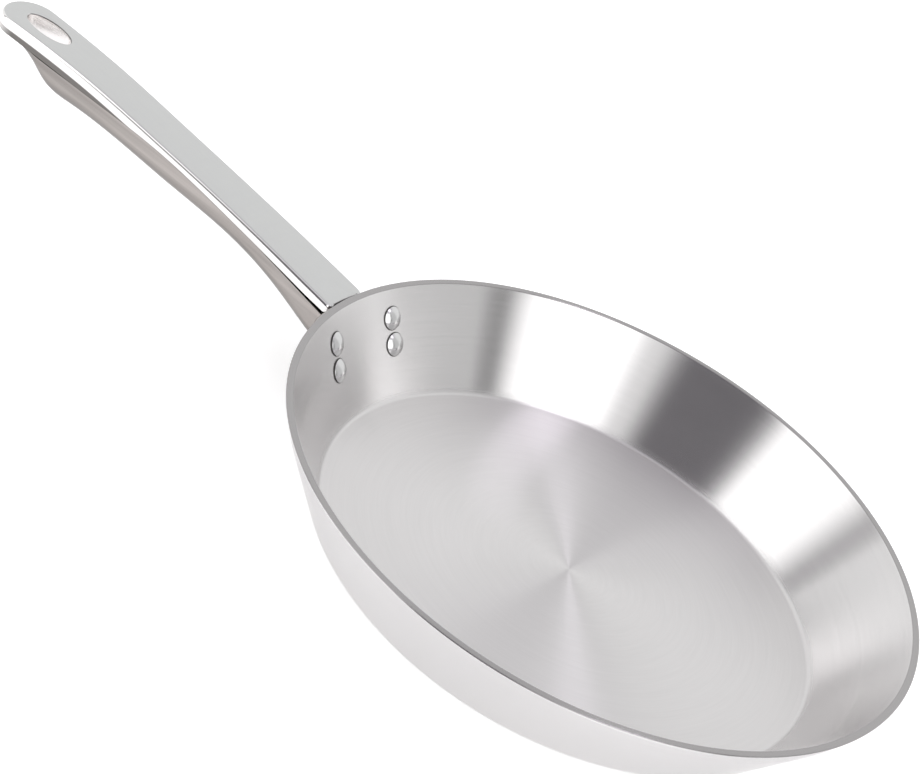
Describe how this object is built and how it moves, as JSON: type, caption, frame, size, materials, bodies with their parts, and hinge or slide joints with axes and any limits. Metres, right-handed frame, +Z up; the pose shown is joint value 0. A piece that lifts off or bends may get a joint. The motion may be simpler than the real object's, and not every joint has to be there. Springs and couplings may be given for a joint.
{
  "type": "omelette pan",
  "caption": "Shallow round pan with straight flared walls and a long hollow riveted handle with an oval hanging slot.",
  "frame": {"origin": "centre of the flat underside of the base", "axes": "+Z up through the mouth of the pan, +X along the handle from the pan to its tip"},
  "size_m": [0.42, 0.24, 0.0478],
  "materials": {
    "brushed_aluminium": "spun, brushed in circles about the axis",
    "satin_steel": "satin top with a mirror polished turned edge",
    "polished_steel": "polished, with a fine grain along the handle",
    "rivet_aluminium": "bright, domed"
  },
  "bodies": {
    "root": {"pan_body": "brushed_aluminium", "mounting_bracket": "polished_steel", "handle_cover": "satin_steel", "handle_shell": "polished_steel", "hanging_sleeve": "polished_steel", "rivet_upper_left": "rivet_aluminium", "rivet_upper_right": "rivet_aluminium", "rivet_lower_left": "rivet_aluminium", "rivet_lower_right": "rivet_aluminium"}
  },
  "joints": []
}
